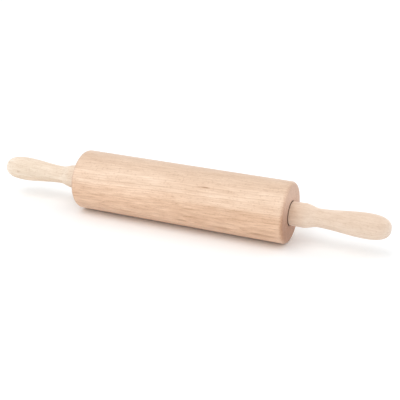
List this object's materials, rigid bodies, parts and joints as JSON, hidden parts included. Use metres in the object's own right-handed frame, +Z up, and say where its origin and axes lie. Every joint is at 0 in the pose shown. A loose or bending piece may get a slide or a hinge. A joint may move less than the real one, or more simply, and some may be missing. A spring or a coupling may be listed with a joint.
{
  "type": "rolling pin",
  "caption": "Wooden rolling pin with a solid round-cornered barrel that turns freely on a steel axle between two fixed, turned handles.",
  "frame": {"origin": "on the table, under the middle of the barrel, which stands on its lowest facet", "axes": "+X along the pin's axis towards the right handle, +Z up"},
  "size_m": [0.43, 0.0624, 0.0625],
  "materials": {
    "barrel_beech": "sanded, unvarnished beech",
    "handle_beech": "sanded, unvarnished beech",
    "axle_steel": "bright drawn steel",
    "washer_steel": "stamped steel",
    "bush_nylon": "moulded dark brown nylon",
    "insert_brass": "turned brass"
  },
  "bodies": {
    "handles_and_axle": {"axle_rod": "axle_steel", "thrust_washer_left": "washer_steel", "threaded_insert_left": "insert_brass", "handle_left": "handle_beech", "thrust_washer_right": "washer_steel", "threaded_insert_right": "insert_brass", "handle_right": "handle_beech"},
    "roller": {"barrel": "barrel_beech", "bearing_bush_left": "bush_nylon", "bearing_bush_right": "bush_nylon"}
  },
  "joints": [
    {"name": "barrel_spin", "type": "hinge", "parent": "handles_and_axle", "child": "roller", "pos_m": [0, 0, 0.03125], "axis": [1, 0, 0], "continuous": true}
  ]
}
